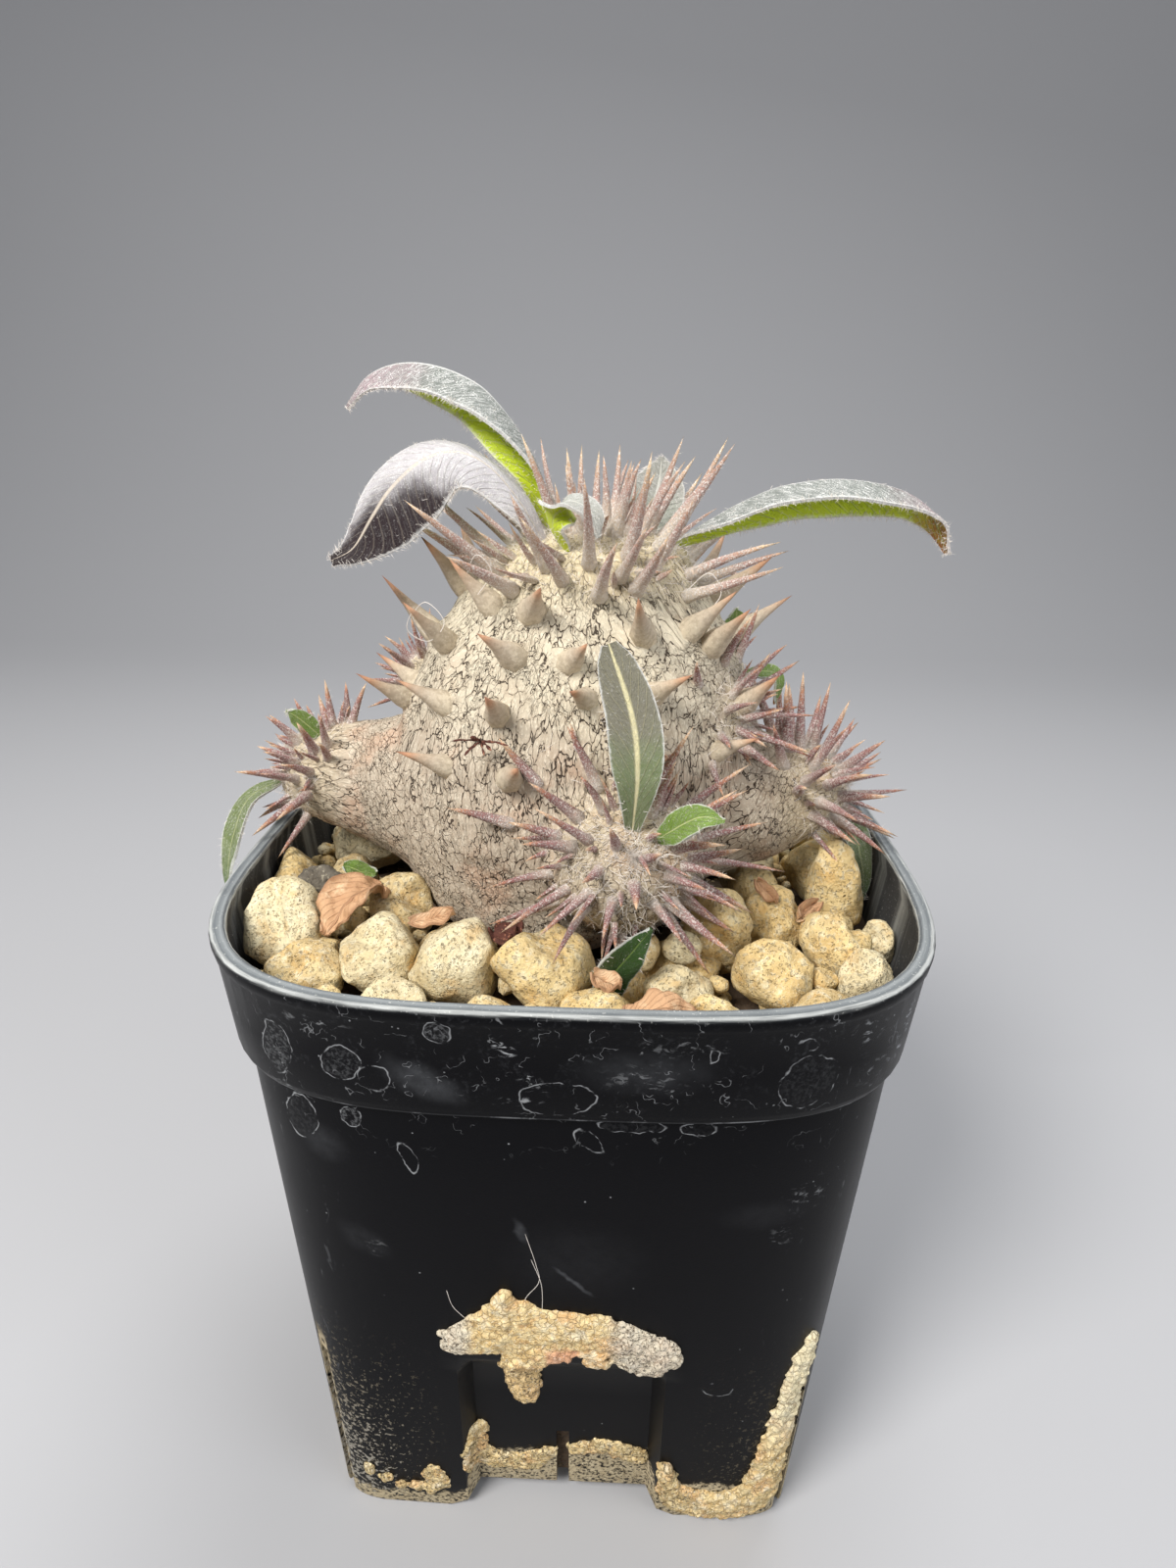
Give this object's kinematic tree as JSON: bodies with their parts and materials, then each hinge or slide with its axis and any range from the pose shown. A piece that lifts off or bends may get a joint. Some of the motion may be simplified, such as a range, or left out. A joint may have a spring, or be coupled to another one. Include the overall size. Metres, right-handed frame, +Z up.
{
  "type": "potted pachypodium",
  "caption": "Small pachypodium with a swollen, spiny branched stem and a few curved leaves, in a black square nursery pot topped with cream stones; a resting decorative plant.",
  "frame": {"origin": "on the pot's upright middle axis, level with the undersides of its four feet", "axes": "+Z up; the front, with the crusted wall and the front head, faces -Y; +X to the right seen from the front"},
  "size_m": [0.0993, 0.0906, 0.157],
  "materials": {
    "black_plastic": "satin",
    "potting_soil": "matte",
    "pale_bark": "matte",
    "woolly_leaf": "matte",
    "dark_leaf": "matte",
    "green_leaf": "satin",
    "grey_green_leaf": "matte",
    "dry_leaf": "matte",
    "cream_stone_1": "matte",
    "cream_stone_2": "matte",
    "cream_stone_3": "matte",
    "mineral_crust": "matte"
  },
  "bodies": {
    "root": {"caudex": "pale_bark", "crust_front": "mineral_crust", "crust_right_foot": "mineral_crust", "dry_leaf_front": "dry_leaf", "dry_leaf_left": "dry_leaf", "leaf_crown_back": "woolly_leaf", "leaf_crown_middle": "woolly_leaf", "leaf_front_foot": "grey_green_leaf", "leaf_front_long": "grey_green_leaf", "leaf_front_small": "green_leaf", "leaf_left_hanging": "grey_green_leaf", "leaf_left_tiny": "green_leaf", "leaf_lower_left": "dark_leaf", "leaf_right": "woolly_leaf", "leaf_right_hanging": "green_leaf", "leaf_side_small": "green_leaf", "leaf_side_upper": "green_leaf", "leaf_upper_left": "woolly_leaf", "pot": "black_plastic", "soil": "potting_soil", "stone_01": "cream_stone_1", "stone_02": "cream_stone_2", "stone_03": "cream_stone_3", "stone_04": "cream_stone_1", "stone_05": "cream_stone_2", "stone_06": "cream_stone_3", "stone_07": "cream_stone_1", "stone_08": "cream_stone_2", "stone_09": "cream_stone_3", "stone_10": "cream_stone_1", "stone_11": "cream_stone_2", "stone_12": "cream_stone_3", "stone_13": "cream_stone_1", "stone_14": "cream_stone_2", "stone_15": "cream_stone_3", "stone_16": "cream_stone_1", "stone_17": "cream_stone_2", "stone_18": "cream_stone_3", "stone_19": "cream_stone_1", "stone_20": "cream_stone_2", "stone_21": "cream_stone_3", "stone_22": "cream_stone_1", "stone_23": "cream_stone_2", "stone_24": "cream_stone_3", "stone_25": "cream_stone_1", "stone_26": "cream_stone_2", "stone_27": "cream_stone_3", "stone_28": "cream_stone_1", "stone_29": "cream_stone_2", "stone_30": "cream_stone_3", "stone_31": "cream_stone_1", "stone_32": "cream_stone_2", "stone_33": "cream_stone_3", "stone_34": "cream_stone_1", "stone_35": "cream_stone_2", "stone_36": "cream_stone_3", "stone_37": "cream_stone_1", "stone_38": "cream_stone_2"}
  },
  "joints": []
}
